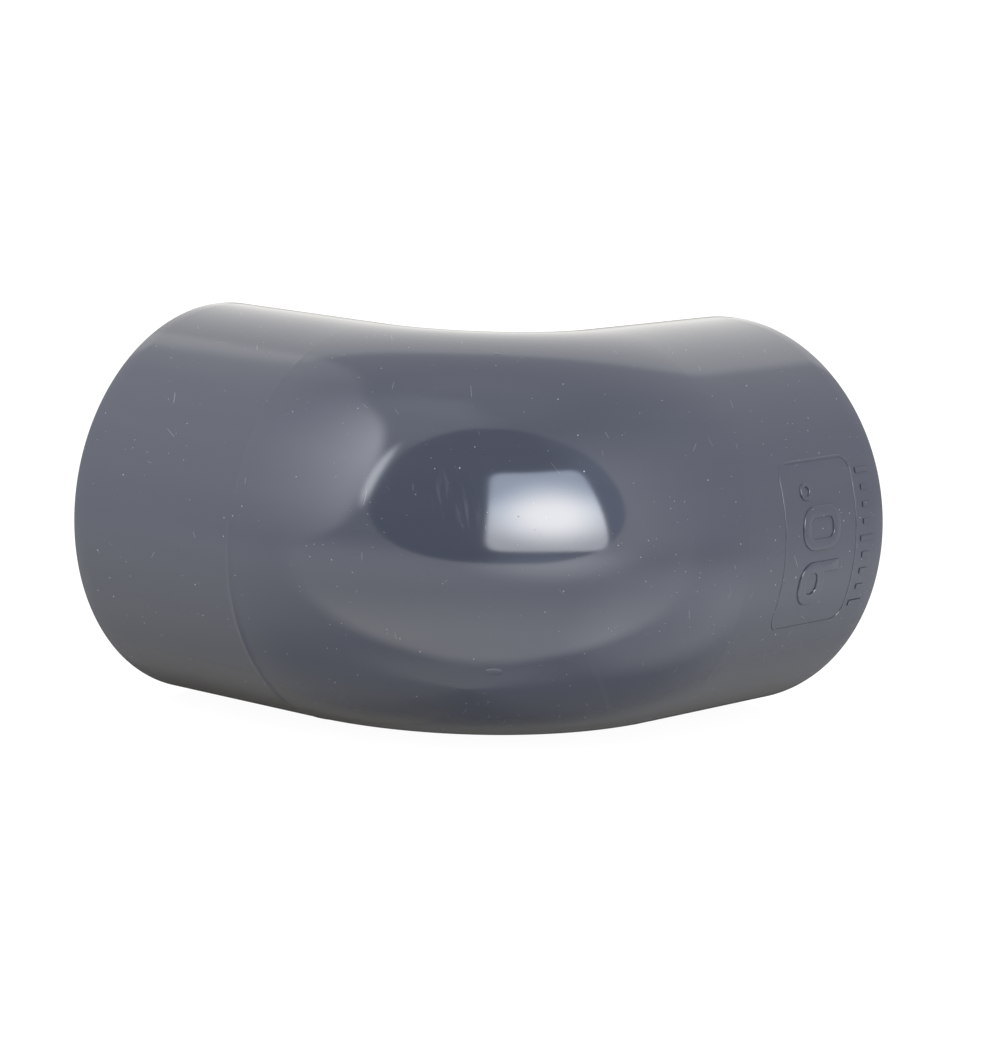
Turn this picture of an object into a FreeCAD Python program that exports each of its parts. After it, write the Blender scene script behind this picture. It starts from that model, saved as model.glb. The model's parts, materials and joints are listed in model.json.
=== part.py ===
import FreeCAD, Part
import math
import os

import Sketcher
from FreeCAD import Placement, Rotation, Vector

# A 90 degree elbow for 63 mm pressure pipe: one moulded piece with a plain cemented socket at each end.
# It lies on its side. One socket opens towards +X and the other towards +Y; the bend lies flat.
# The origin is under the middle of the outline, on the surface that the elbow lies on.

NODE = "elbow_body"

SIZES = {
    "socket_bore": 63.2,
    "socket_depth": 38.0,
    "laying_length": 33.0,
    "outer_diameter": 75.2,
    "waterway_diameter": 57.0,
    "mouth_chamfer": 1.2,
    "rim_round": 0.6,
    "badge_from_mouth": 19.8,
    "badge_length": 22.4,
    "badge_height": 32.0,
    "badge_corner": 3.2,
    "badge_line": 0.5,
    "relief": 0.3,
    "relief_root": 32.5,
    "digit_height": 11.4,
    "digit_width": 8.4,
    "digit_corner": 3.6,
    "digit_stroke": 2.2,
    "digit_gap": 2.2,
    "digit_drop": 2.0,
    "nine_loop": 7.6,
    "degree_size": 3.2,
    "degree_corner": 1.5,
    "degree_stroke": 0.7,
    "degree_gap": 1.2,
    "tick_from_mouth": 5.6,
    "tick_width": 1.0,
    "tick_long": 3.8,
    "tick_short": 2.2,
    "tick_pitch": 3.2,
    "tick_count": 9,
}

# Formulas on the sheet's cells.
OUTER = "Sizes.outer_diameter / 2"
CROSSING = "(Sizes.outer_diameter / 2 - Sizes.laying_length - Sizes.socket_depth) / 2"
BEND = f"({CROSSING} + Sizes.laying_length)"
MOUTH = f"({CROSSING} + Sizes.laying_length + Sizes.socket_depth)"


def make_sheet(doc):
    sheet = doc.addObject("Spreadsheet::Sheet", "Sizes")
    for row, (word, value) in enumerate(SIZES.items(), start=1):
        sheet.set(f"A{row}", word)
        sheet.set(f"B{row}", str(value))
        sheet.setAlias(f"B{row}", word)
    doc.recompute()
    return sheet


def origin_plane(body, role):
    return next(plane for plane in body.Origin.OriginFeatures if plane.Role == role)


def sketch_on(body, name, role, x, y, z):
    """A sketch on an origin plane, moved by formulas along the plane's own x, y and normal."""
    sketch = body.newObject("Sketcher::SketchObject", name)
    sketch.AttachmentSupport = (origin_plane(body, role), [""])
    sketch.MapMode = "FlatFace"
    for axis, formula in (("x", x), ("y", y), ("z", z)):
        sketch.setExpression(f"AttachmentOffset.Base.{axis}", formula)
    return sketch


def bind(sketch, constraint, formula):
    index = sketch.addConstraint(constraint)
    sketch.setExpression(f"Constraints[{index}]", formula)


def draw_circle(sketch, radius, formula, x=0.0, x_formula=None):
    circle = sketch.addGeometry(Part.Circle(Vector(x, 0, 0), Vector(0, 0, 1), radius), False)
    bind(sketch, Sketcher.Constraint("Radius", circle, radius), formula)
    sketch.addConstraint(Sketcher.Constraint("PointOnObject", circle, 3, -1))
    if x_formula:
        bind(sketch, Sketcher.Constraint("DistanceX", circle, 3, -1, 1, -x), x_formula)
    else:
        sketch.addConstraint(Sketcher.Constraint("PointOnObject", circle, 3, -2))


def draw_bend_outline(sketch, radius, bend):
    """A circle cut off by the turning axis, because the tube is wider than its bend."""
    centre = Vector(-bend, 0, 0)
    reach = math.acos(bend / radius)
    arc = Part.ArcOfCircle(Part.Circle(centre, Vector(0, 0, 1), radius), reach, 2 * math.pi - reach)
    curve = sketch.addGeometry(arc, False)
    flat = sketch.addGeometry(Part.LineSegment(arc.EndPoint, arc.StartPoint), False)
    sketch.addConstraint(Sketcher.Constraint("Coincident", curve, 2, flat, 1))
    sketch.addConstraint(Sketcher.Constraint("Coincident", flat, 2, curve, 1))
    sketch.addConstraint(Sketcher.Constraint("PointOnObject", flat, 1, -2))
    sketch.addConstraint(Sketcher.Constraint("PointOnObject", flat, 2, -2))
    sketch.addConstraint(Sketcher.Constraint("PointOnObject", curve, 3, -1))
    bind(sketch, Sketcher.Constraint("Radius", curve, radius), OUTER)
    bind(sketch, Sketcher.Constraint("DistanceX", curve, 3, -1, 1, bend), "Sizes.laying_length")


def make_bend(body, sizes):
    sketch = sketch_on(body, "BendOutline", "XZ_Plane", BEND, OUTER, f"-{BEND}")
    draw_bend_outline(sketch, sizes.outer_diameter / 2, sizes.laying_length)
    bend = body.newObject("PartDesign::Revolution", "Bend")
    bend.Profile = sketch
    bend.ReferenceAxis = (sketch, ["V_Axis"])
    bend.Angle = 90
    return bend


def leg_sketch(body, name, leg, distance):
    """A sketch square to one leg, with its origin on the leg's axis, this far along the leg."""
    if leg == "X":
        return sketch_on(body, name, "YZ_Plane", CROSSING, OUTER, distance)
    return sketch_on(body, name, "XZ_Plane", CROSSING, OUTER, f"-{distance}")


def make_leg(body, leg, sizes):
    sketch = leg_sketch(body, f"Leg{leg}Outline", leg, BEND)
    draw_circle(sketch, sizes.outer_diameter / 2, OUTER)
    pad = body.newObject("PartDesign::Pad", f"Leg{leg}")
    pad.Profile = sketch
    pad.Reversed = leg == "Y"
    pad.setExpression("Length", "Sizes.socket_depth")
    return pad


def make_waterway(body, sizes):
    sketch = sketch_on(body, "WaterwaySection", "XZ_Plane", BEND, OUTER, f"-{BEND}")
    draw_circle(
        sketch,
        sizes.waterway_diameter / 2,
        "Sizes.waterway_diameter / 2",
        -sizes.laying_length,
        "Sizes.laying_length",
    )
    groove = body.newObject("PartDesign::Groove", "Waterway")
    groove.Profile = sketch
    groove.ReferenceAxis = (sketch, ["V_Axis"])
    groove.Angle = 90
    return groove


def make_socket(body, leg, sizes):
    sketch = leg_sketch(body, f"Socket{leg}Section", leg, MOUTH)
    draw_circle(sketch, sizes.socket_bore / 2, "Sizes.socket_bore / 2")
    pocket = body.newObject("PartDesign::Pocket", f"Socket{leg}")
    pocket.Profile = sketch
    pocket.Reversed = leg == "Y"
    pocket.setExpression("Length", "Sizes.socket_depth")
    return pocket


def mouth_edges(shape, radius, mouth):
    """The names of the full circles of this radius that lie in either mouth plane."""
    names = []
    for number, edge in enumerate(shape.Edges, start=1):
        if edge.Degenerated or not isinstance(edge.Curve, Part.Circle):
            continue
        if abs(edge.Curve.Radius - radius) > 0.01:
            continue
        centre = edge.Curve.Center
        if abs(max(centre.x, centre.y) - mouth) < 0.01:
            names.append(f"Edge{number}")
    return names


def make_rims(body, before, sizes, mouth):
    chamfer = body.newObject("PartDesign::Chamfer", "MouthChamfers")
    chamfer.Base = (before, mouth_edges(before.Shape, sizes.socket_bore / 2, mouth))
    chamfer.setExpression("Size", "Sizes.mouth_chamfer")
    body.Document.recompute()
    fillet = body.newObject("PartDesign::Fillet", "RimRounds")
    fillet.Base = (chamfer, mouth_edges(chamfer.Shape, sizes.outer_diameter / 2, mouth))
    fillet.setExpression("Radius", "Sizes.rim_round")
    return fillet


def make_body(doc, sizes):
    body = doc.addObject("PartDesign::Body", "MouldedElbow")
    crossing = (sizes.outer_diameter / 2 - sizes.laying_length - sizes.socket_depth) / 2
    corner = crossing + sizes.laying_length
    mouth = corner + sizes.socket_depth
    make_bend(body, sizes)
    make_leg(body, "X", sizes)
    make_leg(body, "Y", sizes)
    doc.recompute()
    solid_volume = body.Shape.Volume
    make_waterway(body, sizes)
    make_socket(body, "X", sizes)
    hollow = make_socket(body, "Y", sizes)
    doc.recompute()
    check_hollow(body, sizes, solid_volume)
    make_rims(body, hollow, sizes, mouth)
    doc.recompute()
    return body


def check_hollow(body, sizes, solid_volume):
    """The waterway and both sockets really take their own volume out of the solid."""
    waterway = math.pi * (sizes.waterway_diameter / 2) ** 2 * sizes.laying_length * math.pi / 2
    socket = math.pi * (sizes.socket_bore / 2) ** 2 * sizes.socket_depth
    taken = solid_volume - body.Shape.Volume
    if abs(taken - waterway - 2 * socket) > 1.0:
        raise RuntimeError(f"the hollow is {taken:.1f} mm3, not {waterway + 2 * socket:.1f} mm3")


def draw_rounded(sketch, width, height, corner):
    """A rectangle with round corners about the sketch's origin. Each size is (value, formula)."""
    half_x, half_y, radius = width[0] / 2, height[0] / 2, corner[0]
    flat_x, flat_y = half_x - radius, half_y - radius
    starts = [(-flat_x, -half_y), (half_x, -flat_y), (flat_x, half_y), (-half_x, flat_y)]
    ends = [(flat_x, -half_y), (half_x, flat_y), (-flat_x, half_y), (-half_x, -flat_y)]
    centres = [(flat_x, -flat_y), (flat_x, flat_y), (-flat_x, flat_y), (-flat_x, -flat_y)]
    sides = []
    corners = []
    for turn in range(4):
        line = Part.LineSegment(Vector(*starts[turn], 0), Vector(*ends[turn], 0))
        circle = Part.Circle(Vector(*centres[turn], 0), Vector(0, 0, 1), radius)
        angle = (turn - 1) * math.pi / 2
        sides.append(sketch.addGeometry(line, False))
        corners.append(sketch.addGeometry(Part.ArcOfCircle(circle, angle, angle + math.pi / 2), False))
    for turn in range(4):
        sketch.addConstraint(Sketcher.Constraint("Tangent", sides[turn], 2, corners[turn], 1))
        sketch.addConstraint(Sketcher.Constraint("Tangent", corners[turn], 2, sides[(turn + 1) % 4], 1))
        sketch.addConstraint(Sketcher.Constraint("Vertical" if turn % 2 else "Horizontal", sides[turn]))
        if turn:
            sketch.addConstraint(Sketcher.Constraint("Equal", corners[0], corners[turn]))
    sketch.addConstraint(Sketcher.Constraint("Symmetric", corners[1], 3, corners[3], 3, -1, 1))
    bind(sketch, Sketcher.Constraint("Radius", corners[0], radius), corner[1])
    bind(sketch, Sketcher.Constraint("DistanceX", sides[3], 1, sides[1], 1, width[0]), width[1])
    bind(sketch, Sketcher.Constraint("DistanceY", sides[0], 1, sides[2], 1, height[0]), height[1])


def relief_sketch(doc, name, from_mouth, up):
    """A sketch on the outside of the +X leg that reads upwards, with its tops towards the bend."""
    sketch = doc.addObject("Sketcher::SketchObject", name)
    sketch.Placement = Placement(Vector(), Rotation(Vector(0, 0, 1), Vector(-1, 0, 0), Vector(0, -1, 0)))
    sketch.setExpression("Placement.Base.x", f"{MOUTH} - {from_mouth}")
    sketch.setExpression("Placement.Base.y", f"{CROSSING} - Sizes.relief_root")
    sketch.setExpression("Placement.Base.z", f"{OUTER} + {up}")
    return sketch


def raise_sketch(doc, sketch):
    raised = doc.addObject("Part::Extrusion", f"{sketch.Name}Raised")
    raised.Base = sketch
    raised.DirMode = "Normal"
    raised.Solid = True
    raised.setExpression("LengthFwd", f"{OUTER} - Sizes.relief_root + 2 * Sizes.relief")
    return raised


def make_ring(doc, name, width, height, corner, stroke, from_mouth, up):
    """A raised outline of even stroke. Each size is (value, formula), and stroke goes inwards."""
    sketch = relief_sketch(doc, name, from_mouth, up)
    draw_rounded(sketch, width, height, corner)
    inner = [
        (size[0] - share * stroke[0], f"{size[1]} - {share} * {stroke[1]}")
        for size, share in ((width, 2), (height, 2), (corner, 1))
    ]
    draw_rounded(sketch, *inner)
    return raise_sketch(doc, sketch)


def make_bar(doc, name, length, width, from_mouth, up):
    """A raised block on the +X leg; length runs along the leg, and every size is a formula."""
    bar = doc.addObject("Part::Box", name)
    depth = f"({OUTER} - Sizes.relief_root + 2 * Sizes.relief)"
    bar.setExpression("Length", length)
    bar.setExpression("Width", depth)
    bar.setExpression("Height", width)
    bar.setExpression("Placement.Base.x", f"{MOUTH} - {from_mouth} - {length} / 2")
    bar.setExpression("Placement.Base.y", f"{CROSSING} - Sizes.relief_root - {depth}")
    bar.setExpression("Placement.Base.z", f"{OUTER} + {up} - {width} / 2")
    return bar


def cell(sizes, word):
    return (sizes.get(word), f"Sizes.{word}")


def make_badge(doc, sizes):
    """The figure 90 and a degree ring inside a thin frame."""
    badge = "Sizes.badge_from_mouth"
    frame = make_ring(
        doc,
        "BadgeFrame",
        cell(sizes, "badge_height"),
        cell(sizes, "badge_length"),
        cell(sizes, "badge_corner"),
        cell(sizes, "badge_line"),
        badge,
        "0",
    )
    width = cell(sizes, "digit_width")
    stroke = cell(sizes, "digit_stroke")
    corner = cell(sizes, "digit_corner")
    height = cell(sizes, "digit_height")
    loop = cell(sizes, "nine_loop")
    step = "(Sizes.digit_width + Sizes.digit_gap) / 2"
    nine_up = f"(-{step} - Sizes.digit_drop)"
    zero_up = f"({step} - Sizes.digit_drop)"
    loop_place = f"({badge} + (Sizes.digit_height - Sizes.nine_loop) / 2)"
    zero = make_ring(doc, "Zero", width, height, corner, stroke, badge, zero_up)
    nine = make_ring(doc, "NineLoop", width, loop, corner, stroke, loop_place, nine_up)
    stem_up = f"({nine_up} + (Sizes.digit_width - Sizes.digit_stroke) / 2)"
    stem_length = "(Sizes.digit_height - Sizes.nine_loop / 2)"
    stem_place = f"({badge} - Sizes.nine_loop / 4)"
    stem = make_bar(doc, "NineStem", stem_length, "Sizes.digit_stroke", stem_place, stem_up)
    degree = make_ring(
        doc,
        "Degree",
        cell(sizes, "degree_size"),
        cell(sizes, "degree_size"),
        cell(sizes, "degree_corner"),
        cell(sizes, "degree_stroke"),
        f"({badge} + (Sizes.digit_height - Sizes.degree_size) / 2)",
        f"({zero_up} + (Sizes.digit_width + Sizes.degree_size) / 2 + Sizes.degree_gap)",
    )
    return [frame, zero, nine, stem, degree]


def make_ticks(doc, sizes):
    """A row of small ticks beside the rim, longer at both ends and in the middle."""
    count = int(sizes.tick_count)
    ticks = []
    for number in range(count):
        is_long = number % (count // 2) == 0
        length = "Sizes.tick_long" if is_long else "Sizes.tick_short"
        up = f"({number - count // 2} * Sizes.tick_pitch)"
        bar = make_bar(doc, f"Tick{number + 1}", length, "Sizes.tick_width", "Sizes.tick_from_mouth", up)
        ticks.append(bar)
    return ticks


def make_relief(doc, sizes):
    marks = doc.addObject("Part::MultiFuse", "Marks")
    marks.Shapes = make_badge(doc, sizes) + make_ticks(doc, sizes)
    skin = doc.addObject("Part::Cylinder", "ReliefSkin")
    skin.Placement = Placement(Vector(), Rotation(Vector(0, 1, 0), 90))
    skin.setExpression("Radius", f"{OUTER} + Sizes.relief")
    skin.setExpression("Height", "Sizes.socket_depth")
    skin.setExpression("Placement.Base.x", BEND)
    skin.setExpression("Placement.Base.y", CROSSING)
    skin.setExpression("Placement.Base.z", OUTER)
    relief = doc.addObject("Part::Common", "Relief")
    relief.Base = marks
    relief.Tool = skin
    return relief


def check(doc, shape):
    for item in doc.Objects:
        if "Invalid" in item.State or "Error" in item.State:
            raise RuntimeError(f"{item.Name} did not build: {item.State}")
    if shape.isNull() or not shape.isValid() or len(shape.Solids) != 1:
        raise RuntimeError("the elbow is not one valid solid")


def main():
    doc = FreeCAD.newDocument("Elbow")
    sizes = make_sheet(doc)
    body = make_body(doc, sizes)
    elbow = doc.addObject("Part::MultiFuse", "Elbow")
    elbow.Shapes = [body, make_relief(doc, sizes)]
    elbow.Label = NODE
    elbow.Placement = Placement()
    doc.recompute()
    check(doc, elbow.Shape)
    os.makedirs("parts", exist_ok=True)
    elbow.Shape.exportStep(f"parts/{NODE}.step")
    print(f"{NODE}: {elbow.Shape.Volume / 1000:.1f} cm3, {len(elbow.Shape.Faces)} faces")


main()
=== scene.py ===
"""A moulded grey elbow for 63 mm pressure pipe, lying on its side on a pale studio table."""

import json
import math

import bmesh
import bpy
from mathutils import Matrix, Vector


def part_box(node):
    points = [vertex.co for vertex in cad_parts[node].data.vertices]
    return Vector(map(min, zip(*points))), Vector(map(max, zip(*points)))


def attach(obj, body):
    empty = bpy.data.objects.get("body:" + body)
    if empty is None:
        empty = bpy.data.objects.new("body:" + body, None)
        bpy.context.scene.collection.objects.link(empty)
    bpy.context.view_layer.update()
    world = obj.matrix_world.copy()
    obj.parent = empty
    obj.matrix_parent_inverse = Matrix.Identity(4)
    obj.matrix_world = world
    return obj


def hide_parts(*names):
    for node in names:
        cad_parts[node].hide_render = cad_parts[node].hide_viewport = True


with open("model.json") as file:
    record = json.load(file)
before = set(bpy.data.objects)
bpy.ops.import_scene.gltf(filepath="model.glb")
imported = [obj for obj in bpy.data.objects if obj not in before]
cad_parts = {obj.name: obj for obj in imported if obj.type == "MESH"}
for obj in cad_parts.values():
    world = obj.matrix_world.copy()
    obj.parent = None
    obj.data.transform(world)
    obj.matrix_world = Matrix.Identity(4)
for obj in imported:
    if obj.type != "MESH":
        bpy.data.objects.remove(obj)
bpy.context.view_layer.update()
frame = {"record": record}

MM = 0.001
NODE = "elbow_body"

# ---------------------------------------------------------------- sizes, from the frame


def mount(name):
    return next(m for m in frame["record"]["mounts"] if m["name"] == name)


LOW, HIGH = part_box(NODE)
SOCKET_X = mount("socket_x")
AXIS = Vector((SOCKET_X["pos_m"][1], SOCKET_X["pos_m"][1], SOCKET_X["pos_m"][2]))
OUTER = SOCKET_X["pos_m"][2]
BORE = SOCKET_X["dims"]["r_mm"] * MM
MOUTH = HIGH.x - AXIS.x
SOCKET = 38.0 * MM
BEND = MOUTH - SOCKET
WATERWAY = 28.5 * MM
CHAMFER = 1.2 * MM
RIM_ROUND = 0.6 * MM
BEND_CENTRE = AXIS + Vector((BEND, BEND, 0))
HALF_ARC = BEND * math.pi / 4

RING_FROM_X_MOUTH = 39.9 * MM
RING_FROM_Y_MOUTH = 39.15 * MM
RING_WIDTH = 0.3 * MM
RING_X_HEIGHT = 0.012 * MM
RING_Y_HEIGHT = 0.07 * MM
RING_SHARES = (-1.0, -0.5, 0.0, 0.5, 1.0)
RING_CLEARANCE = 0.4 * MM
RING_FADE = (0.2, 0.6)

AROUND_STEPS = 288
BEND_STEPS = 36
LEG_STEPS = 14
RIM_STEPS = 4
SOCKET_STEPS = 8
WATERWAY_STEPS = 24

# Small round spots: along from the middle of the bend, degrees up from the heel, radius, height.
SMALL_SPOTS = (
    (0.0, -32.0, 0.85 * MM, 0.06 * MM),
    (0.0, 70.0, 0.5 * MM, 0.02 * MM),
)
SPOT_ROOT = 0.1 * MM

EDGE_TURNS = [math.radians(degrees) for degrees in (0, 30, 60, 90)]
EDGE_ROUND = 0.22 * MM
SMALLEST_CORNER = 0.02 * MM
RELIEF = 0.3 * MM
TICK_RELIEF = 0.18 * MM
LINE_RELIEF = 0.13 * MM
BADGE_FROM_MOUTH = 19.8 * MM
BADGE_LENGTH = 22.4 * MM
BADGE_HEIGHT = 32.0 * MM
BADGE_CORNER = 3.2 * MM
BADGE_LINE = 0.5 * MM
DIGIT_HEIGHT = 11.4 * MM
DIGIT_WIDTH = 8.4 * MM
DIGIT_CORNER = 3.6 * MM
DIGIT_STROKE = 2.2 * MM
DIGIT_GAP = 2.2 * MM
DIGIT_DROP = 2.0 * MM
NINE_LOOP = 7.6 * MM
STEM_CORNER = 0.1 * MM
STEM_STEP = 0.01 * MM
DEGREE_SIZE = 3.2 * MM
DEGREE_CORNER = 1.5 * MM
DEGREE_STROKE = 0.7 * MM
DEGREE_GAP = 1.2 * MM
TICK_COUNT = 9
TICK_PITCH = 3.2 * MM
TICK_WIDTH = 1.0 * MM
TICK_LONG = 3.8 * MM
TICK_SHORT = 2.2 * MM
TICK_FROM_MOUTH = 5.6 * MM

# Ends of fine lines and the middle of a rubbed patch: (along the moulding, up round the outside). The pale
# line is painted reflection: a light band laid into the colour, over a slight raise.
PAINTED_REFLECTION_ENDS = ((9.2 * MM, -19.7 * MM), (17.4 * MM, -46.0 * MM))
DARK_LINE = ((-23.9 * MM, 62.3 * MM), (-18.9 * MM, 62.3 * MM))
SCUFF_PLACE = (-4.0 * MM, 12.0 * MM)
SCUFF_SIZE = (3.0 * MM, 7.0 * MM)
SCUFF_LEAN = 0.12

# ---------------------------------------------------------------- small helpers


def turned(degrees, axis):
    return Matrix.Rotation(math.radians(degrees), 4, axis)


def new_object(name, mesh):
    piece = bpy.data.objects.new(name, mesh)
    bpy.context.scene.collection.objects.link(piece)
    return piece


class Graph:
    """Adds nodes to a tree and links them, so that a formula reads from the inside out."""

    def __init__(self, tree):
        self.tree = tree

    def node(self, kind, **settings):
        made = self.tree.nodes.new(kind)
        for name, value in settings.items():
            setattr(made, name, value)
        return made

    def feed(self, socket, value):
        if isinstance(value, bpy.types.NodeSocket):
            self.tree.links.new(value, socket)
        else:
            socket.default_value = value

    def fill(self, sockets, values):
        for socket, value in zip(sockets, values):
            self.feed(socket, value)

    def math(self, operation, *values, clamp=False):
        made = self.node("ShaderNodeMath", operation=operation, use_clamp=clamp)
        self.fill(made.inputs, values)
        return made.outputs[0]

    def plus(self, first, *others):
        for other in others:
            first = self.math("ADD", first, other)
        return first

    def minus(self, first, second):
        return self.math("SUBTRACT", first, second)

    def times(self, first, *others):
        for other in others:
            first = self.math("MULTIPLY", first, other)
        return first

    def square(self, value):
        return self.math("POWER", value, 2.0)

    def xyz(self, vector):
        made = self.node("ShaderNodeSeparateXYZ")
        self.feed(made.inputs[0], vector)
        return made.outputs[0], made.outputs[1], made.outputs[2]

    def vector(self, x, y, z):
        made = self.node("ShaderNodeCombineXYZ")
        self.fill(made.inputs, (x, y, z))
        return made.outputs[0]

    def vector_math(self, operation, *values):
        """Returns the node, because some operations answer with a vector and some with a number."""
        made = self.node("ShaderNodeVectorMath", operation=operation)
        self.fill(made.inputs, values)
        return made

    def scaled(self, vector, factor):
        made = self.vector_math("SCALE", vector)
        self.feed(made.inputs["Scale"], factor)
        return made.outputs[0]

    def smooth(self, value, low, high, out_low=0.0, out_high=1.0):
        """A soft step: out_low where value is low, out_high where it is high."""
        made = self.node("ShaderNodeMapRange", interpolation_type="SMOOTHSTEP")
        self.fill(made.inputs, (value, low, high, out_low, out_high))
        return made.outputs[0]

    def blend(self, factor, first, second):
        """Mixes two numbers."""
        made = self.node("ShaderNodeMix", data_type="FLOAT")
        self.fill(made.inputs[:1] + made.inputs[2:4], (factor, first, second))
        return made.outputs[0]

    def tint(self, factor, first, second):
        """Mixes two colours."""
        made = self.node("ShaderNodeMix", data_type="RGBA")
        self.fill(made.inputs[:1] + made.inputs[6:8], (factor, first, second))
        return made.outputs[2]


def add_sockets(tree, inputs, outputs):
    for name, kind, default in inputs:
        socket = tree.interface.new_socket(name, in_out="INPUT", socket_type=f"NodeSocket{kind}")
        if default is not None:
            socket.default_value = default
    for name, kind in outputs:
        tree.interface.new_socket(name, in_out="OUTPUT", socket_type=f"NodeSocket{kind}")


# ---------------------------------------------------------------- geometry trees


def geometry_tree(name, sizes, material):
    """An empty Geometry Nodes tree with an input for each size; returns its parts."""
    tree = bpy.data.node_groups.new(name, "GeometryNodeTree")
    inputs = [("Geometry", "Geometry", None)]
    inputs += [(size, "Int" if isinstance(value, int) else "Float", value) for size, value in sizes.items()]
    inputs.append(("Material", "Material", material))
    add_sockets(tree, inputs, [("Geometry", "Geometry")])
    graph = Graph(tree)
    return tree, graph, graph.node("NodeGroupInput"), graph.node("NodeGroupOutput")


def finish_tree(graph, geometry, group_in, group_out):
    realize = graph.node("GeometryNodeRealizeInstances")
    graph.feed(realize.inputs[0], geometry)
    dress = graph.node("GeometryNodeSetMaterial")
    graph.feed(dress.inputs["Geometry"], realize.outputs[0])
    graph.feed(dress.inputs["Material"], group_in.outputs["Material"])
    graph.feed(group_out.inputs[0], dress.outputs[0])


def keep_straight(graph, geometry, place):
    """Remembers each point's place on the straight fitting, for patterns that follow the moulding."""
    keep = graph.node("GeometryNodeStoreNamedAttribute", data_type="FLOAT_VECTOR", domain="POINT")
    graph.feed(keep.inputs["Geometry"], geometry)
    graph.feed(keep.inputs["Name"], "straight")
    graph.feed(keep.inputs["Value"], place)
    return keep.outputs[0]


def bend_position(graph, group_in):
    """Where a point of the straight fitting goes once it is bent.

    The straight fitting runs along X, its heel side is -Y and X = 0 is the middle of the bend. On the
    inside of the bend, where the tube is wider than the bend, both legs run on until they meet.
    """
    bend = group_in.outputs["Bend Radius"]
    along, side, up = graph.xyz(graph.node("GeometryNodeInputPosition").outputs[0])
    reach = graph.math("ABSOLUTE", along)
    half_arc = graph.times(bend, math.pi / 4)
    turn = graph.minus(math.pi / 4, graph.math("DIVIDE", reach, bend))
    turn = graph.math("MAXIMUM", turn, 0.0)
    run = graph.math("MAXIMUM", graph.minus(reach, half_arc), 0.0)
    radius = graph.minus(bend, side)
    past = graph.math("MAXIMUM", graph.times(radius, -1.0), 0.0)
    turn = graph.blend(graph.math("GREATER_THAN", past, 0.0), turn, 0.0)
    run = graph.math("MAXIMUM", run, past)
    toward = graph.minus(run, graph.times(radius, graph.math("SINE", turn)))
    across = graph.times(radius, graph.math("COSINE", turn), -1.0)
    on_x_leg = graph.math("GREATER_THAN", along, 0.0)
    return graph.vector(
        graph.plus(graph.blend(on_x_leg, across, toward), group_in.outputs["Centre X"]),
        graph.plus(graph.blend(on_x_leg, toward, across), group_in.outputs["Centre Y"]),
        graph.plus(up, group_in.outputs["Centre Z"]),
    )


def bend_tree(material):
    sizes = {
        "Bend Radius": BEND,
        "Centre X": BEND_CENTRE.x,
        "Centre Y": BEND_CENTRE.y,
        "Centre Z": BEND_CENTRE.z,
        "Weld Distance": 0.002 * MM,
    }
    tree, graph, group_in, group_out = geometry_tree("bend_fitting", sizes, material)
    place = graph.node("GeometryNodeInputPosition").outputs[0]
    move = graph.node("GeometryNodeSetPosition")
    graph.feed(move.inputs["Geometry"], keep_straight(graph, group_in.outputs["Geometry"], place))
    graph.feed(move.inputs["Position"], bend_position(graph, group_in))
    weld = graph.node("GeometryNodeMergeByDistance")
    graph.feed(weld.inputs["Geometry"], move.outputs[0])
    graph.feed(weld.inputs["Distance"], group_in.outputs["Weld Distance"])
    finish_tree(graph, weld.outputs[0], group_in, group_out)
    return tree, sizes


def through_tree(name, mesh, tree, sizes, material):
    """Runs a mesh through a Geometry Nodes tree and returns a plain object with the result."""
    carrier = new_object(f"{name}_carrier", mesh)
    modifier = carrier.modifiers.new("shape", "NODES")
    modifier.node_group = tree
    for item in tree.interface.items_tree:
        if item.in_out == "INPUT" and item.name in sizes:
            modifier[item.identifier] = sizes[item.name]
        elif item.in_out == "INPUT" and item.name == "Material":
            modifier[item.identifier] = material
    bpy.context.view_layer.update()
    evaluated = carrier.evaluated_get(bpy.context.evaluated_depsgraph_get())
    result = bpy.data.meshes.new_from_object(evaluated)
    bpy.data.objects.remove(carrier)
    bpy.data.meshes.remove(mesh)
    result.name = name
    return new_object(name, result)


# ---------------------------------------------------------------- the straight fitting


def stepped(start, end, count):
    return [start + (end - start) * step / count for step in range(count)]


def arc_points(centre_a, centre_b, radius, first, last, count):
    """Points of a small arc, from one angle to another in degrees."""
    angles = [math.radians(first + (last - first) * step / count) for step in range(count + 1)]
    return [(centre_a + radius * math.cos(a), centre_b + radius * math.sin(a)) for a in angles]


def half_profile(ring_from_mouth, ring_height):
    """One end of the wall, from the middle of the outside to the middle of the bore.

    Each point is the distance along the fitting, the radius and how much the witness line lifts it.
    """
    mouth = HALF_ARC + SOCKET
    ring = mouth - ring_from_mouth
    half_ring = RING_WIDTH / 2
    points = [(s, OUTER, 0.0) for s in stepped(0, ring - half_ring, BEND_STEPS)]
    points += [(ring + half_ring * share, OUTER, ring_height * (1 - share * share)) for share in RING_SHARES]
    rest = [(s, OUTER) for s in stepped(ring + half_ring + RING_CLEARANCE, mouth - RIM_ROUND, LEG_STEPS)]
    rest += arc_points(mouth - RIM_ROUND, OUTER - RIM_ROUND, RIM_ROUND, 90, 0, RIM_STEPS)
    rest += [(mouth, BORE + CHAMFER), (mouth - CHAMFER, BORE)]
    rest += [(s, BORE) for s in stepped(mouth - CHAMFER, HALF_ARC, SOCKET_STEPS)[1:]]
    rest += [(HALF_ARC, BORE), (HALF_ARC, WATERWAY)]
    rest += [(s, WATERWAY) for s in stepped(HALF_ARC, 0, WATERWAY_STEPS)[1:]]
    rest += [(0, WATERWAY)]
    return points + [(s, r, 0.0) for s, r in rest]


def ring_share(angle):
    """How much of the witness line shows: all of it underneath, none on the inner side of the bend."""
    fade_from, fade_to = RING_FADE
    heel = (fade_to - math.cos(angle)) / (fade_to - fade_from)
    return min(max(heel, 0.0), 1.0) * (0.5 - 0.5 * math.sin(angle))


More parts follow.
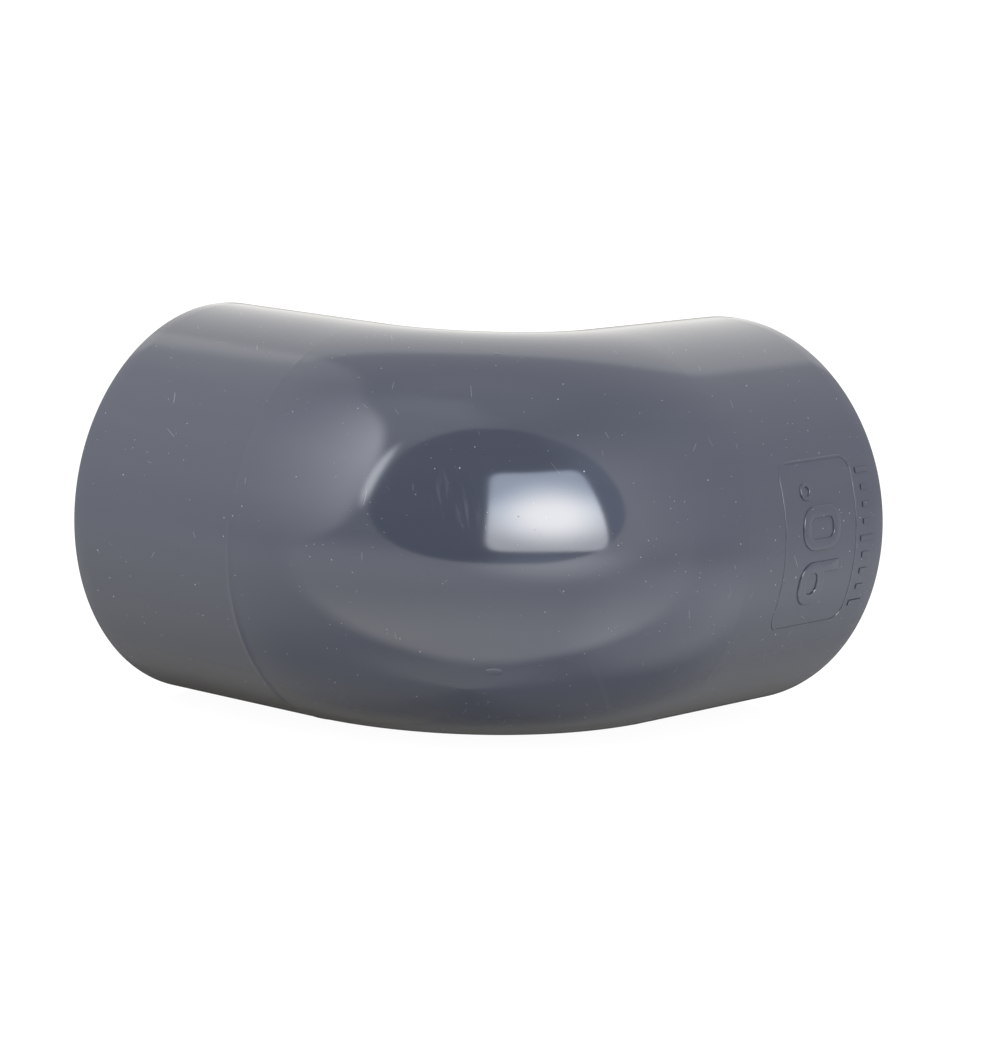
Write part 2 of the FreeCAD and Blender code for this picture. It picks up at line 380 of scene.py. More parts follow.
def straight_fitting():
    """The fitting before it is bent: the closed profile turned about the X axis."""
    to_x = half_profile(RING_FROM_X_MOUTH, RING_X_HEIGHT)
    to_y = half_profile(RING_FROM_Y_MOUTH, RING_Y_HEIGHT)
    profile = to_x + [(-s, r, lift) for s, r, lift in reversed(to_y)][1:-1]
    vertices = []
    for s, r, lift in profile:
        for step in range(AROUND_STEPS):
            angle = 2 * math.pi * (step + 0.5) / AROUND_STEPS
            reach = r + lift * ring_share(angle)
            vertices.append((s, reach * math.cos(angle), reach * math.sin(angle)))
    faces = []
    for row in range(len(profile)):
        after = (row + 1) % len(profile)
        faces += loop_quads(row * AROUND_STEPS, after * AROUND_STEPS, AROUND_STEPS)
    for s, degrees, radius, height in SMALL_SPOTS:
        add_spot(vertices, faces, s, math.radians(degrees), radius, height)
    mesh = bpy.data.meshes.new("straight_fitting")
    mesh.from_pydata(vertices, [], faces)
    return mesh


def loop_quads(first, second, count):
    """Faces between two closed loops of points that start at these two numbers."""
    following = [(step + 1) % count for step in range(count)]
    return [(first + i, first + j, second + j, second + i) for i, j in enumerate(following)]


def add_spot(vertices, faces, s, angle, radius, height, count=24):
    """A shallow round mark on the outside; the angle is up from the middle of the heel."""
    start = len(vertices)
    rows = [(1.0, -SPOT_ROOT), (1.0, 0.0), (0.8, height * 0.7), (0.5, height)]
    for share, lift in rows:
        for step in range(count):
            turn = 2 * math.pi * step / count
            around = angle + radius * share * math.sin(turn) / OUTER
            reach = OUTER + lift
            along = s + radius * share * math.cos(turn)
            vertices.append((along, -reach * math.cos(around), reach * math.sin(around)))
    for row in range(len(rows) - 1):
        faces += loop_quads(start + row * count, start + (row + 1) * count, count)
    faces.append(tuple(range(start, start + count)))
    faces.append(tuple(range(start + (len(rows) - 1) * count, start + len(rows) * count)))


# ---------------------------------------------------------------- raised marks on the +X leg


def rounded_loop(width, length, corner, inset, side_steps=10, corner_steps=8):
    """Points (along the leg, up) of a rounded rectangle about the origin, moved inwards by inset."""
    radius = max(corner - inset, SMALLEST_CORNER)
    along, up = length / 2 - inset - radius, width / 2 - inset - radius
    middles = ((along, up), (along, -up), (-along, -up), (-along, up))
    corners = []
    for turn, (a, b) in enumerate(middles):
        corners.append(arc_points(a, b, radius, 90 - 90 * turn, -90 * turn, corner_steps))
    points = []
    for corner_points, following in zip(corners, corners[1:] + corners[:1]):
        last, first = Vector(corner_points[-1]), Vector(following[0])
        points += corner_points
        points += [tuple(last.lerp(first, step / side_steps)) for step in range(1, side_steps)]
    return points


def add_mark(shape, width, length, corner, stroke, along, up, height=RELIEF):
    """A raised outline, or a solid pad without a stroke, lying flat: (from mouth, up, height)."""
    soft = min(EDGE_ROUND, (stroke or width) / 4, height)
    edge = [(soft * (1 - math.cos(turn)), height - soft * (1 - math.sin(turn))) for turn in EDGE_TURNS]
    rows = [(0.0, -RELIEF)] + edge
    if stroke:
        rows += [(stroke - inset, level) for inset, level in reversed(rows)]
    loops = []
    for inset, level in rows:
        flat = rounded_loop(width, length, corner, inset)
        loops.append([shape.verts.new((along + a, up + b, level)) for a, b in flat])
    pairs = list(zip(loops, loops[1:]))
    if stroke:
        pairs.append((loops[-1], loops[0]))
    else:
        shape.faces.new(loops[0])
        shape.faces.new(loops[-1])
    for first, second in pairs:
        for step in range(len(first)):
            after = (step + 1) % len(first)
            shape.faces.new((first[step], first[after], second[after], second[step]))


def flat_marks():
    """The frame and the figure 90 with its degree ring, before they are wrapped round the leg."""
    shape = bmesh.new()
    step = (DIGIT_WIDTH + DIGIT_GAP) / 2
    middle = BADGE_FROM_MOUTH
    nine_up, zero_up = -step - DIGIT_DROP, step - DIGIT_DROP
    loop_along = middle + (DIGIT_HEIGHT - NINE_LOOP) / 2
    stem_length = DIGIT_HEIGHT - NINE_LOOP / 2
    stem_along = middle - NINE_LOOP / 4
    stem_up = nine_up + (DIGIT_WIDTH - DIGIT_STROKE) / 2
    degree_along = middle + (DIGIT_HEIGHT - DEGREE_SIZE) / 2
    degree_up = zero_up + (DIGIT_WIDTH + DEGREE_SIZE) / 2 + DEGREE_GAP
    add_mark(shape, BADGE_HEIGHT, BADGE_LENGTH, BADGE_CORNER, BADGE_LINE, middle, 0.0, LINE_RELIEF)
    add_mark(shape, DIGIT_WIDTH, DIGIT_HEIGHT, DIGIT_CORNER, DIGIT_STROKE, middle, zero_up)
    add_mark(shape, DIGIT_WIDTH, NINE_LOOP, DIGIT_CORNER, DIGIT_STROKE, loop_along, nine_up)
    add_mark(shape, DIGIT_STROKE, stem_length, STEM_CORNER, None, stem_along, stem_up, RELIEF - STEM_STEP)
    add_mark(shape, DEGREE_SIZE, DEGREE_SIZE, DEGREE_CORNER, DEGREE_STROKE, degree_along, degree_up)
    mesh = bpy.data.meshes.new("flat_marks")
    shape.to_mesh(mesh)
    shape.free()
    return mesh


def tick_row(graph, group_in):
    """A flat row of ticks, longer at both ends and in the middle, as one instance per tick."""
    size = group_in.outputs
    row = graph.node("GeometryNodeMeshLine", mode="OFFSET")
    gaps = graph.minus(size["Ticks"], 1.0)
    lowest = graph.times(gaps, size["Tick Pitch"], -0.5)
    start = graph.vector(size["Tick From Mouth"], lowest, 0.0)
    graph.feed(row.inputs["Count"], size["Ticks"])
    graph.feed(row.inputs["Start Location"], start)
    graph.feed(row.inputs["Offset"], graph.vector(0.0, size["Tick Pitch"], 0.0))
    block = graph.node("GeometryNodeMeshCube")
    half = graph.math("DIVIDE", gaps, 2.0)
    place = graph.math("MODULO", graph.node("GeometryNodeInputIndex").outputs[0], half)
    is_short = graph.math("GREATER_THAN", place, 0.5)
    length = graph.blend(is_short, size["Long Tick"], size["Short Tick"])
    height = graph.times(size["Relief"], 2.0)
    spread = graph.node("GeometryNodeInstanceOnPoints")
    graph.feed(spread.inputs["Points"], row.outputs[0])
    graph.feed(spread.inputs["Instance"], block.outputs["Mesh"])
    graph.feed(spread.inputs["Scale"], graph.vector(length, size["Tick Width"], height))
    return spread.outputs[0]


def marks_tree(material):
    sizes = {
        "Ticks": TICK_COUNT,
        "Tick Pitch": TICK_PITCH,
        "Tick Width": TICK_WIDTH,
        "Long Tick": TICK_LONG,
        "Short Tick": TICK_SHORT,
        "Tick From Mouth": TICK_FROM_MOUTH,
        "Relief": TICK_RELIEF,
        "Leg Radius": OUTER,
        "Mouth X": AXIS.x + MOUTH,
        "Straight Mouth": HALF_ARC + SOCKET,
        "Axis Y": AXIS.y,
        "Axis Z": AXIS.z,
    }
    tree, graph, group_in, group_out = geometry_tree("leg_marks", sizes, material)
    size = group_in.outputs
    both = graph.node("GeometryNodeJoinGeometry")
    graph.feed(both.inputs[0], size["Geometry"])
    graph.feed(both.inputs[0], tick_row(graph, group_in))
    solid = graph.node("GeometryNodeRealizeInstances")
    graph.feed(solid.inputs[0], both.outputs[0])
    along, up, height = graph.xyz(graph.node("GeometryNodeInputPosition").outputs[0])
    radius = graph.plus(size["Leg Radius"], height)
    depth = graph.math("SQRT", graph.minus(graph.square(radius), graph.square(up)))
    heel_side = graph.times(depth, -1.0)
    straight = graph.vector(graph.minus(size["Straight Mouth"], along), heel_side, up)
    wrapped = graph.vector(
        graph.minus(size["Mouth X"], along),
        graph.plus(size["Axis Y"], heel_side),
        graph.plus(size["Axis Z"], up),
    )
    wrap = graph.node("GeometryNodeSetPosition")
    graph.feed(wrap.inputs["Geometry"], keep_straight(graph, solid.outputs[0], straight))
    graph.feed(wrap.inputs["Position"], wrapped)
    finish_tree(graph, wrap.outputs[0], group_in, group_out)
    return tree, sizes


def join_into(piece, other):
    """Adds the other object's mesh to the piece's and removes the other object."""
    shape = bmesh.new()
    shape.from_mesh(piece.data)
    shape.from_mesh(other.data)
    shape.to_mesh(piece.data)
    shape.free()
    mesh = other.data
    bpy.data.objects.remove(other)
    bpy.data.meshes.remove(mesh)


def tidy_mesh(piece, sharp_degrees=32, shortest_edge=0.0001 * MM):
    """Points all faces outwards and shades the piece smooth, up to a sharp angle."""
    shape = bmesh.new()
    shape.from_mesh(piece.data)
    bmesh.ops.dissolve_degenerate(shape, dist=shortest_edge, edges=shape.edges)
    bmesh.ops.recalc_face_normals(shape, faces=shape.faces)
    shape.to_mesh(piece.data)
    shape.free()
    piece.data.shade_smooth()
    piece.data.set_sharp_from_angle(angle=math.radians(sharp_degrees))


# ---------------------------------------------------------------- materials

PLASTIC_DARK = (0.0445, 0.0505, 0.072, 1)
PLASTIC_LIGHT = (0.0475, 0.0530, 0.0745, 1)
DUST = (0.42, 0.43, 0.44, 1)
RUBBED_PLASTIC = (0.42, 0.45, 0.5, 1)
PAINTED_REFLECTION_TINT = (0.3, 0.31, 0.33, 1)
DARK_DIRT = (0.01, 0.01, 0.012, 1)
GLOSSIEST = 0.07
HAZIEST = 0.095
INSIDE_ROUGHNESS = 0.22
PLASTIC_IOR = 1.53
WAVE_HEIGHT = 0.03 * MM
SPECK_HEIGHT = 0.02 * MM


def wear_group():
    """Dust specks, short hairs, a patchy haze and slow waves, from a place in metres."""
    tree = bpy.data.node_groups.new("surface_wear", "ShaderNodeTree")
    outputs = [(name, "Float") for name in ("Specks", "Hairs", "Haze", "Waves")]
    add_sockets(tree, [("Place", "Vector", (0, 0, 0))], outputs)
    graph = Graph(tree)
    place = graph.node("NodeGroupInput").outputs[0]
    group_out = graph.node("NodeGroupOutput")
    dusty = graph.smooth(noise(graph, place, 90.0, 3.0), 0.35, 0.7, 0.1, 1.0)
    clustered = graph.smooth(noise(graph, place, 130.0, 3.0), 0.5, 0.68, 0.0, 0.45)
    fine = speck_layer(graph, place, 1300.0, 0.14, clustered)
    small = speck_layer(graph, place, 520.0, 0.085, dusty)
    large = speck_layer(graph, place, 300.0, 0.055, graph.times(dusty, 0.6))
    specks = graph.math("MAXIMUM", graph.math("MAXIMUM", small, large), fine)
    long_hairs = hair_layer(graph, place, 260.0, 0.012, 0.03)
    short_hairs = hair_layer(graph, place, 480.0, 0.02, 0.035)
    haze = graph.smooth(noise(graph, place, 45.0, 2.0), 0.35, 0.7)
    graph.feed(group_out.inputs["Specks"], specks)
    graph.feed(group_out.inputs["Hairs"], graph.math("MAXIMUM", long_hairs, short_hairs))
    graph.feed(group_out.inputs["Haze"], haze)
    graph.feed(group_out.inputs["Waves"], noise(graph, place, 60.0, 1.0))
    return tree


def noise(graph, place, scale, detail):
    """Smooth noise between 0 and 1; scale is the number of lumps in a metre."""
    made = graph.node("ShaderNodeTexNoise")
    graph.feed(made.inputs["Vector"], place)
    graph.feed(made.inputs["Scale"], scale)
    graph.feed(made.inputs["Detail"], detail)
    return made.outputs[0]


def cells(graph, place, scale):
    """Scattered points: distance to the nearest one, its random colour and the offset from it."""
    made = graph.node("ShaderNodeTexVoronoi")
    graph.feed(made.inputs["Vector"], place)
    graph.feed(made.inputs["Scale"], scale)
    offset = graph.vector_math("SUBTRACT", place, made.outputs["Position"])
    return made.outputs["Distance"], made.outputs["Color"], graph.scaled(offset.outputs[0], scale)


def speck_layer(graph, place, scale, size, share):
    """Small round specks at this share of the scattered points; size is a fraction of their spacing."""
    distance, colour, _ = cells(graph, place, scale)
    present, strength, _ = graph.xyz(colour)
    dot = graph.smooth(distance, size, size * 0.4)
    chosen = graph.math("LESS_THAN", present, share)
    return graph.times(dot, chosen, graph.math("POWER", strength, 1.6))


def hair_layer(graph, place, scale, width, share):
    """Short straight hairs in random directions; width is a fraction of the points' spacing."""
    distance, colour, offset = cells(graph, place, scale)
    present, strength, _ = graph.xyz(colour)
    direction = graph.vector_math("SUBTRACT", colour, (0.5, 0.5, 0.5)).outputs[0]
    direction = graph.vector_math("NORMALIZE", direction).outputs[0]
    height = graph.vector_math("DOT_PRODUCT", offset, direction).outputs["Value"]
    line = graph.smooth(graph.math("ABSOLUTE", height), width, width * 0.4)
    short = graph.smooth(distance, 0.42, 0.3)
    chosen = graph.math("LESS_THAN", present, share)
    return graph.times(line, short, chosen, strength)


def moulding_group():
    """Streaks of flow, fine lines (the pale one painted reflection) and the inside of the tube, from a place
    on the straight fitting.
    """
    tree = bpy.data.node_groups.new("moulding_lines", "ShaderNodeTree")
    outputs = [(name, "Float") for name in ("Streaks", "Line", "Dark Line", "Scuff", "Inside")]
    add_sockets(tree, [("Straight", "Vector", (0, 0, 0))], outputs)
    graph = Graph(tree)
    straight = graph.node("NodeGroupInput").outputs[0]
    group_out = graph.node("NodeGroupOutput")
    along, side, up = graph.xyz(straight)
    around = graph.times(graph.math("ARCTAN2", up, graph.times(side, -1.0)), OUTER)
    stretched = graph.vector_math("MULTIPLY", straight, (0.12, 1.0, 1.0)).outputs[0]
    radius = graph.math("SQRT", graph.plus(graph.square(side), graph.square(up)))
    graph.feed(group_out.inputs["Streaks"], noise(graph, stretched, 160.0, 4.0))
    # Line: a pale line of painted reflection, a light band over a slight raise.
    graph.feed(group_out.inputs["Line"], fine_line(graph, along, around, PAINTED_REFLECTION_ENDS, 0.5 * MM, 2.0 * MM))
    graph.feed(group_out.inputs["Dark Line"], fine_line(graph, along, around, DARK_LINE, 0.18 * MM, 0.6 * MM))
    graph.feed(group_out.inputs["Scuff"], scuff_patch(graph, along, around))
    graph.feed(group_out.inputs["Inside"], graph.smooth(radius, OUTER - 1.6 * MM, OUTER - 4.6 * MM))
    return tree


def fine_line(graph, along, around, ends, width, soft):
    """A line on the outside between two points, this wide to each side and with soft ends."""
    first, second = ends
    run = Vector(second) - Vector(first)
    ahead = run.normalized()
    local_s = graph.minus(along, first[0])
    local_a = graph.minus(around, first[1])
    off = graph.plus(graph.times(local_s, -ahead.y), graph.times(local_a, ahead.x))
    on = graph.plus(graph.times(local_s, ahead.x), graph.times(local_a, ahead.y))
    thin = graph.smooth(graph.math("ABSOLUTE", off), width, 0.0)
    begun = graph.smooth(on, -soft, soft)
    ended = graph.smooth(on, run.length + soft, run.length - soft)
    return graph.times(thin, begun, ended)


def scuff_patch(graph, along, around):
    """A few faint rubbed strokes on the heel, leaning across the bend."""
    local_s = graph.minus(along, SCUFF_PLACE[0])
    local_a = graph.minus(around, SCUFF_PLACE[1])
    across = graph.plus(local_s, graph.times(local_a, SCUFF_LEAN))
    strokes = noise(graph, graph.vector(graph.times(across, 14.0), local_a, 0.0), 130.0, 3.0)
    share_s = graph.math("DIVIDE", across, SCUFF_SIZE[0])
    share_a = graph.math("DIVIDE", local_a, SCUFF_SIZE[1])
    reach = graph.plus(graph.square(share_s), graph.square(share_a))
    return graph.times(graph.smooth(strokes, 0.5, 0.75), graph.smooth(reach, 1.0, 0.1))


def grey_plastic():
    """Smooth moulded grey plastic with faint flow streaks, dust, hairs, rubbed strokes and a pale line of
    painted reflection.
    """
    material = bpy.data.materials.new("grey_pipe_plastic")
    material.use_nodes = True
    graph = Graph(material.node_tree)
    shader = material.node_tree.nodes["Principled BSDF"]
    wear = graph.node("ShaderNodeGroup", node_tree=wear_group())
    graph.feed(wear.inputs[0], graph.node("ShaderNodeTexCoord").outputs["Object"])
    straight = graph.node("ShaderNodeAttribute", attribute_name="straight").outputs["Vector"]
    lines = graph.node("ShaderNodeGroup", node_tree=moulding_group())
    graph.feed(lines.inputs[0], straight)

    streaks = graph.smooth(lines.outputs["Streaks"], 0.3, 0.7)
    colour = graph.tint(streaks, PLASTIC_DARK, PLASTIC_LIGHT)
    overlays = (
        (wear.outputs["Specks"], 0.85, DUST),
        (wear.outputs["Hairs"], 0.35, DUST),
        (lines.outputs["Scuff"], 0.06, RUBBED_PLASTIC),
        # The pale line is painted reflection, lightened into the colour.
        (lines.outputs["Line"], 0.02, PAINTED_REFLECTION_TINT),
        (lines.outputs["Dark Line"], 0.8, DARK_DIRT),
    )
    for mask, strength, shade in overlays:
        colour = graph.tint(graph.times(mask, strength), colour, shade)
    graph.feed(shader.inputs["Base Color"], colour)

    rough = graph.blend(wear.outputs["Haze"], GLOSSIEST, HAZIEST)
    rough = graph.blend(lines.outputs["Inside"], rough, INSIDE_ROUGHNESS)
    rough = graph.math("ADD", rough, graph.times(wear.outputs["Specks"], 0.5), clamp=True)
    graph.feed(shader.inputs["Roughness"], rough)
    shader.inputs["IOR"].default_value = PLASTIC_IOR

    waves = graph.node("ShaderNodeBump")
    graph.feed(waves.inputs["Distance"], WAVE_HEIGHT)
    graph.feed(waves.inputs["Height"], wear.outputs["Waves"])
    # The pale line also gets a slight real raise here.
    raised = graph.plus(wear.outputs["Specks"], graph.times(lines.outputs["Line"], 0.15))
    bits = graph.node("ShaderNodeBump")
    graph.feed(bits.inputs["Distance"], SPECK_HEIGHT)
    graph.feed(bits.inputs["Height"], raised)
    graph.feed(bits.inputs["Normal"], waves.outputs[0])
    graph.feed(shader.inputs["Normal"], bits.outputs[0])
    return material


# ---------------------------------------------------------------- studio

STUDIO_HEADING = 45.0
PLAIN_WHITE = (1.1, 1.1, 1.1, 1)
PLAIN_SHARE = 0.87
FLOOR_REACH = 20.0

CAMERA_HEADING = -49.64
CAMERA_ELEVATION = 9.36
CAMERA_ROLL = 2.17
CAMERA_DISTANCE = 792.9 * MM
CAMERA_RIGHT = 1.75 * MM
CAMERA_UP = 4.8 * MM

# Patches of the studio, as a shiny surface sees them by direction. Azimuth 0 is where the heel points and
# grows to the right. Each has the azimuth and elevation of its middle, its half width and half height,
# all in degrees, then how square it is and how soft its edge.
CAMERA_OPENING = (4.2, 31.5, 42.2, 38.8, 2.7, 0.018)
STRIP_LIGHT = (-40.0, 37.5, 1.65, 16.0, 2.2, 0.4)
LEFT_WALL = (-100.0, 30.0, 58.5, 38.0, 3.0, 0.05)
BACK_WALL = (180.0, 12.0, 38.0, 36.5, 5.0, 0.08)
CEILING_GLOW = (-50.0, 72.0, 56.0, 16.0, 2.0, 0.5)
LIT_TABLE = (3.0, -10.0, 66.0, 58.0, 2.2, 0.08)
OPENING_GLOW = (19.0, -7.0, 16.0, 5.0, 2.0, 0.6)
LAMP_CORE = (21.0, 20.0, 14.0, 13.0, 2.0, 0.7)
LAMP_BAND = (20.0, 17.0, 60.0, 9.0, 2.0, 0.7)

# Glows on the table: a patch and its brightness.
TABLE_GLOWS = (
    ((71.0, -37.0, 31.0, 24.0, 2.5, 0.4), 0.72),
    ((20.0, -4.0, 19.0, 9.0, 2.0, 0.8), 2.2),
    ((160.0, -32.0, 24.0, 14.0, 2.0, 0.5), 0.1),
    ((-165.0, -32.0, 22.0, 12.0, 2.0, 0.5), 0.04),
)

# Shades of the table: it comes in between two azimuths, counted to both sides, and its factor goes from
# one value to another between two elevations.
TABLE_SHADES = (
    (110.0, 150.0, -60.0, -30.0, 0.9, 0.4),
    (55.0, 110.0, -60.0, -40.0, 0.75, 1.0),
    (140.0, 172.0, -50.0, -22.0, 0.6, 0.13),
    (90.0, 50.0, -75.0, -58.0, 1.45, 1.0),
)
RIGHT_TABLE_SHADE = (35.0, 60.0, -30.0, -5.0, 0.85, 0.8)

COOL_LIGHT = (0.985, 1.0, 1.05, 1)
WARM_LIGHT = (1.05, 1.0, 0.82, 1)
OPENING_TINT = (0.85, 1.0, 1.3)
STRIP_COLOUR = (8.4, 8.7, 9.1, 1)
LAMP_WHITE = (1.0, 1.0, 1.0, 1)
LAMP_BLUE = (0.86, 1.0, 1.2, 1)


def patch_group():
    """A soft-edged patch of the studio, placed by azimuth and elevation in degrees."""
    tree = bpy.data.node_groups.new("wall_patch", "ShaderNodeTree")
    inputs = [
        ("Azimuth", "Float", 0.0),
        ("Elevation", "Float", 0.0),
        ("Centre Azimuth", "Float", 0.0),
        ("Centre Elevation", "Float", 0.0),
        ("Half Width", "Float", 10.0),
        ("Half Height", "Float", 10.0),
        ("Squareness", "Float", 4.0),
        ("Edge", "Float", 0.05),
    ]
    add_sockets(tree, inputs, [("Mask", "Float")])
    graph = Graph(tree)
    values = graph.node("NodeGroupInput").outputs
    group_out = graph.node("NodeGroupOutput")
    spread = []
    for angle, centre, half in (
        ("Azimuth", "Centre Azimuth", "Half Width"),
        ("Elevation", "Centre Elevation", "Half Height"),
    ):
        offset = graph.math("ABSOLUTE", graph.minus(values[angle], values[centre]))
        share = graph.math("DIVIDE", offset, values[half])
        spread.append(graph.math("POWER", share, values["Squareness"]))
    root = graph.math("DIVIDE", 1.0, values["Squareness"])
    reach = graph.math("POWER", graph.plus(*spread), root)
    inner = graph.minus(1.0, values["Edge"])
    outer = graph.plus(1.0, values["Edge"])
    graph.feed(group_out.inputs[0], graph.smooth(reach, inner, outer, 1.0, 0.0))
    return tree


class StudioView:
    """The studio by direction in a node tree, with the means to fill it."""

    def __init__(self, graph, azimuth, elevation):
        self.graph = graph
        self.azimuth = azimuth
        self.elevation = elevation
        self.away = graph.math("ABSOLUTE", azimuth)
        self.patch = patch_group()

    def mask(self, place, both_sides=False):
        """How far a direction is in a patch, or in the pair of it and its mirror image."""
        made = self.graph.node("ShaderNodeGroup", node_tree=self.patch)
        turn = self.away if both_sides else self.azimuth
        self.graph.fill(made.inputs, (turn, self.elevation, *place))
        return made.outputs[0]

    def rising(self, low, high, at_low, at_high):
        """A level that goes from one value to another between two elevations."""
        return self.graph.smooth(self.elevation, low, high, at_low, at_high)

    def shade(self, azimuth, begin, full, *levels):
        """A factor of 1 that turns into a level by elevation between two azimuths."""
        come_in = self.graph.smooth(azimuth, begin, full)
        return self.graph.blend(come_in, 1.0, self.rising(*levels))

    def growing(self, value, zero, one, power):
        """Grows from 0 to 1 between two angles, slowly at first."""
        share = self.graph.math("DIVIDE", self.graph.minus(value, zero), one - zero, clamp=True)
        return self.graph.math("POWER", share, power)


def studio_walls(view):
    """Brightness of the walls and ceiling."""
    graph = view.graph
    right = graph.times(
        view.growing(view.azimuth, 115.0, 50.0, 2.0),
        graph.smooth(view.azimuth, 0.0, 45.0),
        view.rising(68.0, 28.0, 0.0, 1.0),
        0.95,
    )
    left_slope = graph.times(
        view.growing(view.azimuth, -140.0, -48.0, 3.0),
        view.growing(view.elevation, -7.0, 52.0, 1.0),
        3.6,
    )
    return graph.plus(
        view.rising(40.0, 68.0, 0.8, 0.66),
        view.rising(68.0, 80.0, 0.0, 0.15),
        graph.times(view.mask(BACK_WALL, both_sides=True), 0.55),
        right,
        graph.times(view.mask(CEILING_GLOW), 0.45),
        graph.times(view.mask(LEFT_WALL), graph.plus(left_slope, 0.4)),
    )


def studio_table(view):
    """Brightness of the table."""
    graph = view.graph
    shades = [view.shade(view.away, *shade) for shade in TABLE_SHADES]
    shades.append(view.shade(view.azimuth, *RIGHT_TABLE_SHADE))
    glows = [graph.times(view.mask(place), level) for place, level in TABLE_GLOWS]
    return graph.plus(
        graph.times(view.rising(-58.0, -12.0, 0.62, 1.25), *shades),
        graph.times(view.mask(LIT_TABLE), view.rising(-52.0, -20.0, 1.45, 0.3)),
        *glows,
    )


def studio_opening(view):
    """The dark opening that the camera looks through, hazy at its right."""
    graph = view.graph
    haze = graph.times(graph.smooth(view.azimuth, 22.0, 46.0, 0.07, 0.75), view.rising(42.0, 55.0, 1.0, 0.6))
    haze = graph.plus(haze, graph.times(view.mask(OPENING_GLOW), 0.9))
    return graph.scaled(OPENING_TINT, haze)


def studio_lamp(view):
    """Light and outline of the square lamp, hottest in the middle, bluer at the top, wider below."""
    graph = view.graph
    core = view.mask(LAMP_CORE)
    cool = graph.times(view.rising(4.0, 34.0, 0.15, 1.0), graph.minus(1.0, core))
    level = graph.plus(
        graph.times(core, 8.4),
        graph.times(view.mask(LAMP_BAND), 2.4),
        view.rising(44.0, 24.0, 5.4, 6.0),
    )
    half_width = view.rising(43.0, -1.0, 17.8, 19.2)
    outline = view.mask((19.0, 21.4, half_width, 21.9, 9.0, 0.035))
    return graph.scaled(graph.tint(cool, LAMP_WHITE, LAMP_BLUE), level), outline


def studio_group():
    """What a shiny surface sees of the studio, by direction: walls, table, camera opening and lights."""
    tree = bpy.data.node_groups.new("studio_seen", "ShaderNodeTree")
    add_sockets(tree, [("Azimuth", "Float", 0.0), ("Elevation", "Float", 0.0)], [("Light", "Color")])
    graph = Graph(tree)
    azimuth, elevation = graph.node("NodeGroupInput").outputs[:2]
    view = StudioView(graph, azimuth, elevation)
    level = graph.blend(view.rising(-8.0, 6.0, 0.0, 1.0), studio_table(view), studio_walls(view))
    warmth = graph.plus(
        graph.smooth(view.away, 80.0, 165.0, 0.0, 0.45),
        graph.times(view.rising(10.0, -40.0, 0.0, 1.0), graph.smooth(azimuth, 60.0, -60.0, 0.1, 0.6)),
    )
    light = graph.scaled(graph.tint(warmth, COOL_LIGHT, WARM_LIGHT), level)
    light = graph.tint(view.mask(CAMERA_OPENING), light, studio_opening(view))
    light = graph.tint(view.mask(STRIP_LIGHT), light, STRIP_COLOUR)
    lamp, outline = studio_lamp(view)
    group_out = graph.node("NodeGroupOutput")
    graph.feed(group_out.inputs[0], graph.tint(outline, light, lamp))
    return tree


def make_world():
    """A soft dome lights the fitting; shiny surfaces see the studio and the eye sees plain white."""
    world = bpy.data.worlds.new("studio")
    world.use_nodes = True
    bpy.context.scene.world = world
    graph = Graph(world.node_tree)
    background = world.node_tree.nodes["Background"]
    heading = graph.node("ShaderNodeMapping", vector_type="POINT")
    heading.inputs["Rotation"].default_value = (0, 0, math.radians(STUDIO_HEADING))
    graph.feed(heading.inputs["Vector"], graph.node("ShaderNodeTexCoord").outputs["Generated"])
    x, y, z = graph.xyz(heading.outputs[0])
    studio = graph.node("ShaderNodeGroup", node_tree=studio_group())
    turn = graph.math("ARCTAN2", x, graph.times(y, -1.0))
    graph.feed(studio.inputs["Azimuth"], graph.math("DEGREES", turn))
    graph.feed(studio.inputs["Elevation"], graph.math("DEGREES", graph.math("ARCSINE", z)))
    dome = graph.smooth(z, 0.0, 1.0, 0.75, 2.4)
    path = graph.node("ShaderNodeLightPath")
    light = graph.tint(path.outputs["Is Glossy Ray"], graph.vector(dome, dome, dome), studio.outputs[0])
    light = graph.tint(path.outputs["Is Camera Ray"], light, PLAIN_WHITE)
    graph.feed(background.inputs["Color"], light)
    background.inputs["Strength"].default_value = 1.0


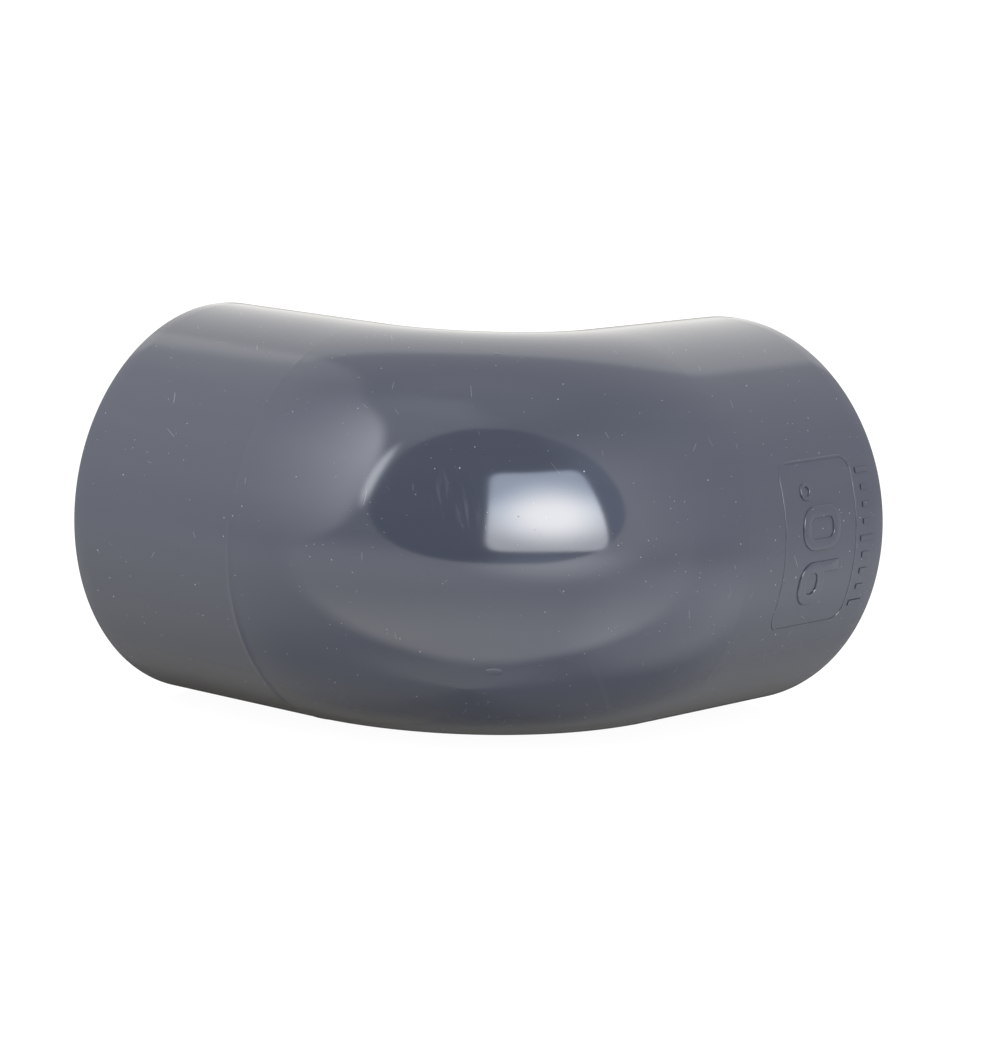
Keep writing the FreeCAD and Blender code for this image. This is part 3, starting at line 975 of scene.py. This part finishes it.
def white_board():
    """Matt white board, almost plain to the eye, with a faint contact shadow."""
    material = bpy.data.materials.new("studio_table")
    material.use_nodes = True
    graph = Graph(material.node_tree)
    board = material.node_tree.nodes["Principled BSDF"]
    board.inputs["Base Color"].default_value = (0.8, 0.8, 0.8, 1)
    board.inputs["Roughness"].default_value = 0.9
    board.inputs["Specular IOR Level"].default_value = 0.0
    plain = graph.node("ShaderNodeEmission")
    plain.inputs["Color"].default_value = PLAIN_WHITE
    to_eye = graph.node("ShaderNodeLightPath").outputs["Is Camera Ray"]
    mix = graph.node("ShaderNodeMixShader")
    graph.fill(mix.inputs, (graph.times(to_eye, PLAIN_SHARE), board.outputs[0], plain.outputs[0]))
    output = material.node_tree.nodes["Material Output"]
    graph.feed(output.inputs["Surface"], mix.outputs[0])
    return material


def make_floor():
    """A wide board at the height of the fitting's underside, which shiny surfaces look through."""
    corners = [(a * FLOOR_REACH, b * FLOOR_REACH, LOW.z) for a, b in ((-1, -1), (1, -1), (1, 1), (-1, 1))]
    mesh = bpy.data.meshes.new("studio_floor")
    mesh.from_pydata(corners, [], [(0, 1, 2, 3)])
    floor = new_object("studio_floor", mesh)
    mesh.materials.append(white_board())
    floor.visible_glossy = False


def make_camera():
    """Stands low on the heel side, a little to the left of the bend's middle."""
    turn = turned(CAMERA_HEADING, "Z") @ turned(90 - CAMERA_ELEVATION, "X") @ turned(CAMERA_ROLL, "Z")
    right, up, back = (turn.col[i].to_3d() for i in range(3))
    data = bpy.data.cameras.new("studio_camera")
    data.lens = 149.77
    data.sensor_width = 36.0
    data.clip_end = 100.0
    camera = new_object("studio_camera", data)
    place = AXIS + back * CAMERA_DISTANCE + right * CAMERA_RIGHT + up * CAMERA_UP
    camera.matrix_world = Matrix.Translation(place) @ turn
    bpy.context.scene.camera = camera


# ---------------------------------------------------------------- the whole picture


def make_elbow(material):
    """The bent fitting with its raised marks, as one piece."""
    tree, sizes = bend_tree(material)
    elbow = through_tree("elbow_moulding", straight_fitting(), tree, sizes, material)
    tree, sizes = marks_tree(material)
    join_into(elbow, through_tree("elbow_marks", flat_marks(), tree, sizes, material))
    tidy_mesh(elbow)
    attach(elbow, "root")
    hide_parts(NODE)


def main():
    bpy.context.scene.view_settings.view_transform = "Standard"
    plastic = grey_plastic()
    make_camera()
    make_world()
    make_floor()
    make_elbow(plastic)


main()
